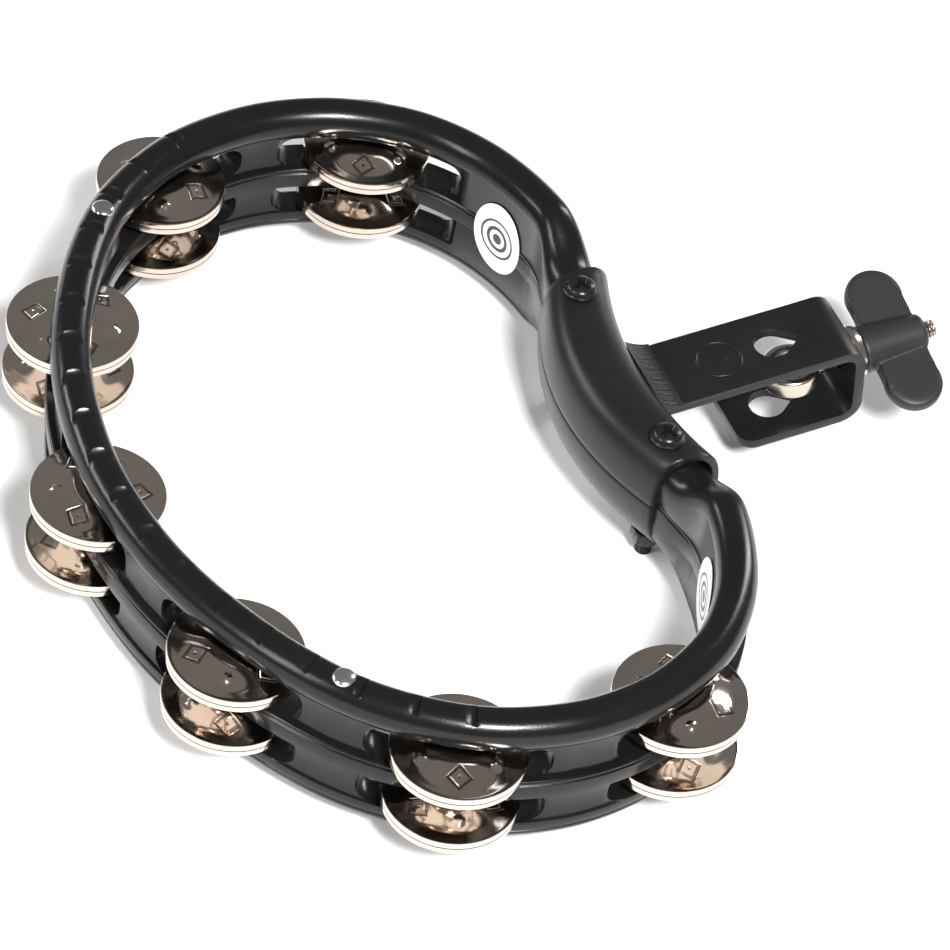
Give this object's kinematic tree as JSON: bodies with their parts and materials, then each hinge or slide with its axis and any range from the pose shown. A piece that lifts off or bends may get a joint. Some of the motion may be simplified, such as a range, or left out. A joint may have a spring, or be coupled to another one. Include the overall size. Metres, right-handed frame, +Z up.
{
  "type": "mountable double row tambourine",
  "caption": "Kidney-shaped tambourine with two rows of loose jingle discs, a covered handle and a folded bracket with an eye bolt and wing nut that clamps it to a rod.",
  "frame": {"origin": "middle of the footprint, level with the lowest point, the ends of the handle cover's two screws", "axes": "+X from the middle of the ring's rounded front to the wing nut, +Y to the left jingles, +Z up through the ring"},
  "size_m": [0.273, 0.2598, 0.0509],
  "materials": {
    "ring_plastic": "glossy black with a fine moulded grain",
    "cover_paint": "satin black with a leather-like grain",
    "bracket_paint": "satin black",
    "jingle_nickel": "bright plated, slightly warm",
    "pin_steel": "bright plated",
    "rivet_nickel": "bright plated",
    "screw_steel": "black plated, semi-gloss",
    "clamp_nickel": "bright plated",
    "knob_plastic": "matte black with a fine grain",
    "label_vinyl": "gloss white"
  },
  "bodies": {
    "instrument": {"cone_washer": "clamp_nickel", "cover_nut_left": "screw_steel", "cover_nut_right": "screw_steel", "cover_screw_left": "screw_steel", "cover_screw_right": "screw_steel", "handle_cover_lower": "cover_paint", "handle_cover_upper": "cover_paint", "jingle_pin_1": "pin_steel", "jingle_pin_2": "pin_steel", "jingle_pin_3": "pin_steel", "jingle_pin_4": "pin_steel", "jingle_pin_5": "pin_steel", "jingle_pin_6": "pin_steel", "jingle_pin_7": "pin_steel", "label_left": "label_vinyl", "label_right": "label_vinyl", "mounting_bracket": "bracket_paint", "ring_lower_moulding": "ring_plastic", "ring_rivet_left": "rivet_nickel", "ring_rivet_right": "rivet_nickel", "ring_upper_moulding": "ring_plastic"},
    "wing_nut": {"wing_nut": "knob_plastic"},
    "eye_bolt": {"eye_bolt": "clamp_nickel"},
    "jingle_1_lower_row_bottom": {"jingle_1_lower_row_bottom_disc": "jingle_nickel"},
    "jingle_1_lower_row_top": {"jingle_1_lower_row_top_disc": "jingle_nickel"},
    "jingle_1_upper_row_bottom": {"jingle_1_upper_row_bottom_disc": "jingle_nickel"},
    "jingle_1_upper_row_top": {"jingle_1_upper_row_top_disc": "jingle_nickel"},
    "jingle_2_lower_row_bottom": {"jingle_2_lower_row_bottom_disc": "jingle_nickel"},
    "jingle_2_lower_row_top": {"jingle_2_lower_row_top_disc": "jingle_nickel"},
    "jingle_2_upper_row_bottom": {"jingle_2_upper_row_bottom_disc": "jingle_nickel"},
    "jingle_2_upper_row_top": {"jingle_2_upper_row_top_disc": "jingle_nickel"},
    "jingle_3_lower_row_bottom": {"jingle_3_lower_row_bottom_disc": "jingle_nickel"},
    "jingle_3_lower_row_top": {"jingle_3_lower_row_top_disc": "jingle_nickel"},
    "jingle_3_upper_row_bottom": {"jingle_3_upper_row_bottom_disc": "jingle_nickel"},
    "jingle_3_upper_row_top": {"jingle_3_upper_row_top_disc": "jingle_nickel"},
    "jingle_4_lower_row_bottom": {"jingle_4_lower_row_bottom_disc": "jingle_nickel"},
    "jingle_4_lower_row_top": {"jingle_4_lower_row_top_disc": "jingle_nickel"},
    "jingle_4_upper_row_bottom": {"jingle_4_upper_row_bottom_disc": "jingle_nickel"},
    "jingle_4_upper_row_top": {"jingle_4_upper_row_top_disc": "jingle_nickel"},
    "jingle_5_lower_row_bottom": {"jingle_5_lower_row_bottom_disc": "jingle_nickel"},
    "jingle_5_lower_row_top": {"jingle_5_lower_row_top_disc": "jingle_nickel"},
    "jingle_5_upper_row_bottom": {"jingle_5_upper_row_bottom_disc": "jingle_nickel"},
    "jingle_5_upper_row_top": {"jingle_5_upper_row_top_disc": "jingle_nickel"},
    "jingle_6_lower_row_bottom": {"jingle_6_lower_row_bottom_disc": "jingle_nickel"},
    "jingle_6_lower_row_top": {"jingle_6_lower_row_top_disc": "jingle_nickel"},
    "jingle_6_upper_row_bottom": {"jingle_6_upper_row_bottom_disc": "jingle_nickel"},
    "jingle_6_upper_row_top": {"jingle_6_upper_row_top_disc": "jingle_nickel"},
    "jingle_7_lower_row_bottom": {"jingle_7_lower_row_bottom_disc": "jingle_nickel"},
    "jingle_7_lower_row_top": {"jingle_7_lower_row_top_disc": "jingle_nickel"},
    "jingle_7_upper_row_bottom": {"jingle_7_upper_row_bottom_disc": "jingle_nickel"},
    "jingle_7_upper_row_top": {"jingle_7_upper_row_top_disc": "jingle_nickel"}
  },
  "joints": [
    {"name": "wing_nut_turn", "type": "hinge", "parent": "instrument", "child": "wing_nut", "pos_m": [0.12222, 0, 0.03074], "axis": [0.9925, 0, 0.1219], "range_deg": [0, 2160]},
    {"name": "eye_bolt_travel", "type": "slide", "parent": "instrument", "child": "eye_bolt", "axis": [0.9925, 0, 0.1219], "range_m": [-0.006, 0]},
    {"name": "jingle_1_lower_row_bottom_rattle", "type": "slide", "parent": "instrument", "child": "jingle_1_lower_row_bottom", "axis": [0, 0, 1], "range_m": [-0.0008, 0]},
    {"name": "jingle_1_lower_row_top_rattle", "type": "slide", "parent": "instrument", "child": "jingle_1_lower_row_top", "axis": [0, 0, 1], "range_m": [0, 0.0008]},
    {"name": "jingle_1_upper_row_bottom_rattle", "type": "slide", "parent": "instrument", "child": "jingle_1_upper_row_bottom", "axis": [0, 0, 1], "range_m": [-0.0008, 0]},
    {"name": "jingle_1_upper_row_top_rattle", "type": "slide", "parent": "instrument", "child": "jingle_1_upper_row_top", "axis": [0, 0, 1], "range_m": [0, 0.0008]},
    {"name": "jingle_2_lower_row_bottom_rattle", "type": "slide", "parent": "instrument", "child": "jingle_2_lower_row_bottom", "axis": [0, 0, 1], "range_m": [-0.0008, 0]},
    {"name": "jingle_2_lower_row_top_rattle", "type": "slide", "parent": "instrument", "child": "jingle_2_lower_row_top", "axis": [0, 0, 1], "range_m": [0, 0.0008]},
    {"name": "jingle_2_upper_row_bottom_rattle", "type": "slide", "parent": "instrument", "child": "jingle_2_upper_row_bottom", "axis": [0, 0, 1], "range_m": [-0.0008, 0]},
    {"name": "jingle_2_upper_row_top_rattle", "type": "slide", "parent": "instrument", "child": "jingle_2_upper_row_top", "axis": [0, 0, 1], "range_m": [0, 0.0008]},
    {"name": "jingle_3_lower_row_bottom_rattle", "type": "slide", "parent": "instrument", "child": "jingle_3_lower_row_bottom", "axis": [0, 0, 1], "range_m": [-0.0008, 0]},
    {"name": "jingle_3_lower_row_top_rattle", "type": "slide", "parent": "instrument", "child": "jingle_3_lower_row_top", "axis": [0, 0, 1], "range_m": [0, 0.0008]},
    {"name": "jingle_3_upper_row_bottom_rattle", "type": "slide", "parent": "instrument", "child": "jingle_3_upper_row_bottom", "axis": [0, 0, 1], "range_m": [-0.0008, 0]},
    {"name": "jingle_3_upper_row_top_rattle", "type": "slide", "parent": "instrument", "child": "jingle_3_upper_row_top", "axis": [0, 0, 1], "range_m": [0, 0.0008]},
    {"name": "jingle_4_lower_row_bottom_rattle", "type": "slide", "parent": "instrument", "child": "jingle_4_lower_row_bottom", "axis": [0, 0, 1], "range_m": [-0.0008, 0]},
    {"name": "jingle_4_lower_row_top_rattle", "type": "slide", "parent": "instrument", "child": "jingle_4_lower_row_top", "axis": [0, 0, 1], "range_m": [0, 0.0008]},
    {"name": "jingle_4_upper_row_bottom_rattle", "type": "slide", "parent": "instrument", "child": "jingle_4_upper_row_bottom", "axis": [0, 0, 1], "range_m": [-0.0008, 0]},
    {"name": "jingle_4_upper_row_top_rattle", "type": "slide", "parent": "instrument", "child": "jingle_4_upper_row_top", "axis": [0, 0, 1], "range_m": [0, 0.0008]},
    {"name": "jingle_5_lower_row_bottom_rattle", "type": "slide", "parent": "instrument", "child": "jingle_5_lower_row_bottom", "axis": [0, 0, 1], "range_m": [-0.0008, 0]},
    {"name": "jingle_5_lower_row_top_rattle", "type": "slide", "parent": "instrument", "child": "jingle_5_lower_row_top", "axis": [0, 0, 1], "range_m": [0, 0.0008]},
    {"name": "jingle_5_upper_row_bottom_rattle", "type": "slide", "parent": "instrument", "child": "jingle_5_upper_row_bottom", "axis": [0, 0, 1], "range_m": [-0.0008, 0]},
    {"name": "jingle_5_upper_row_top_rattle", "type": "slide", "parent": "instrument", "child": "jingle_5_upper_row_top", "axis": [0, 0, 1], "range_m": [0, 0.0008]},
    {"name": "jingle_6_lower_row_bottom_rattle", "type": "slide", "parent": "instrument", "child": "jingle_6_lower_row_bottom", "axis": [0, 0, 1], "range_m": [-0.0008, 0]},
    {"name": "jingle_6_lower_row_top_rattle", "type": "slide", "parent": "instrument", "child": "jingle_6_lower_row_top", "axis": [0, 0, 1], "range_m": [0, 0.0008]},
    {"name": "jingle_6_upper_row_bottom_rattle", "type": "slide", "parent": "instrument", "child": "jingle_6_upper_row_bottom", "axis": [0, 0, 1], "range_m": [-0.0008, 0]},
    {"name": "jingle_6_upper_row_top_rattle", "type": "slide", "parent": "instrument", "child": "jingle_6_upper_row_top", "axis": [0, 0, 1], "range_m": [0, 0.0008]},
    {"name": "jingle_7_lower_row_bottom_rattle", "type": "slide", "parent": "instrument", "child": "jingle_7_lower_row_bottom", "axis": [0, 0, 1], "range_m": [-0.0008, 0]},
    {"name": "jingle_7_lower_row_top_rattle", "type": "slide", "parent": "instrument", "child": "jingle_7_lower_row_top", "axis": [0, 0, 1], "range_m": [0, 0.0008]},
    {"name": "jingle_7_upper_row_bottom_rattle", "type": "slide", "parent": "instrument", "child": "jingle_7_upper_row_bottom", "axis": [0, 0, 1], "range_m": [-0.0008, 0]},
    {"name": "jingle_7_upper_row_top_rattle", "type": "slide", "parent": "instrument", "child": "jingle_7_upper_row_top", "axis": [0, 0, 1], "range_m": [0, 0.0008]}
  ],
  "couplings": [
    {"joint": "eye_bolt_travel", "follows": "wing_nut_turn", "m_per_rad": -0.00015915}
  ]
}
